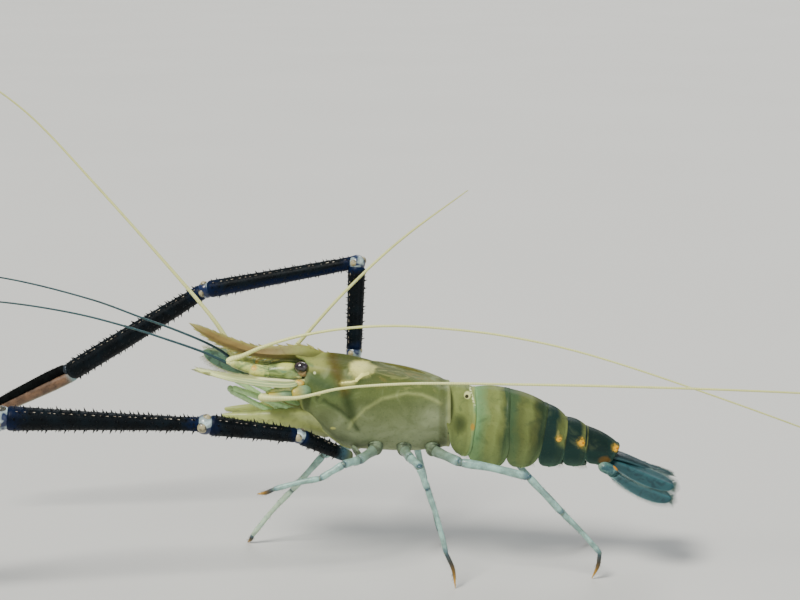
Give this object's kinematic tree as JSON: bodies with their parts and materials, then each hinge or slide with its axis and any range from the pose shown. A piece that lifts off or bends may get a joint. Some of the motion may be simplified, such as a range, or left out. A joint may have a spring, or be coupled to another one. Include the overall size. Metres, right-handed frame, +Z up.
{
  "type": "giant river prawn model",
  "caption": "Life-size still model of a giant river prawn standing on its legs, one long claw resting on the floor, the other raised, feelers swept back and up.",
  "frame": {"origin": "middle of the bounding box at floor level", "axes": "+Z up, the head faces -X, the animal's left side faces -Y"},
  "size_m": [0.5242, 0.129, 0.2463],
  "materials": {
    "shell_olive": "translucent olive shell, wet gloss",
    "tail_banded": "blue-green and olive bands, wet gloss",
    "tail_blue": "dark blue shell, wet gloss",
    "eyestalk_pink": "pinkish orange, soft",
    "eye_dark": "near-black, moist",
    "feeler_pale": "pale yellow, finely ringed",
    "feeler_dark": "dark teal, finely ringed",
    "head_green": "pale yellow-green, translucent",
    "scale_green": "pale green to teal, translucent",
    "mouth_olive": "olive to teal green",
    "arm_blue": "blue-black, spiny, pale at the joints",
    "leg_blue": "light blue, orange at the toes"
  },
  "bodies": {
    "root": {"abdomen_1": "tail_banded", "abdomen_2": "tail_banded", "abdomen_3": "tail_banded", "abdomen_4": "tail_banded", "abdomen_5": "tail_banded", "abdomen_6": "tail_banded", "antenna_base_left": "head_green", "antenna_base_right": "head_green", "antenna_left_1": "feeler_pale", "antenna_left_2": "feeler_pale", "antenna_right": "feeler_pale", "antenna_scale_left": "scale_green", "antenna_scale_right": "scale_green", "antennule_base_left": "head_green", "antennule_base_right": "head_green", "antennule_inner_left": "feeler_dark", "antennule_inner_right": "feeler_dark", "antennule_outer_left_1": "feeler_pale", "antennule_outer_left_2": "feeler_pale", "antennule_outer_right": "feeler_pale", "arm_carpus_left": "arm_blue", "arm_carpus_right": "arm_blue", "arm_finger_left": "arm_blue", "arm_finger_right": "arm_blue", "arm_ischium_left": "arm_blue", "arm_ischium_right": "arm_blue", "arm_merus_left": "arm_blue", "arm_merus_right": "arm_blue", "arm_palm_left": "arm_blue", "arm_palm_right": "arm_blue", "carapace": "shell_olive", "eye_left": "eye_dark", "eye_right": "eye_dark", "eyestalk_left": "eyestalk_pink", "eyestalk_right": "eyestalk_pink", "first_leg_lower_left": "mouth_olive", "first_leg_lower_right": "mouth_olive", "first_leg_upper_left": "mouth_olive", "first_leg_upper_right": "mouth_olive", "leg_3_lower_left": "leg_blue", "leg_3_lower_right": "leg_blue", "leg_3_upper_left": "leg_blue", "leg_3_upper_right": "leg_blue", "leg_4_lower_left": "leg_blue", "leg_4_lower_right": "leg_blue", "leg_4_upper_left": "leg_blue", "leg_4_upper_right": "leg_blue", "leg_5_lower_left": "leg_blue", "leg_5_lower_right": "leg_blue", "leg_5_upper_left": "leg_blue", "leg_5_upper_right": "leg_blue", "maxilliped_left": "mouth_olive", "maxilliped_right": "mouth_olive", "telson": "tail_blue", "uropod_inner_left": "tail_blue", "uropod_inner_right": "tail_blue", "uropod_outer_left": "tail_blue", "uropod_outer_right": "tail_blue"}
  },
  "joints": []
}
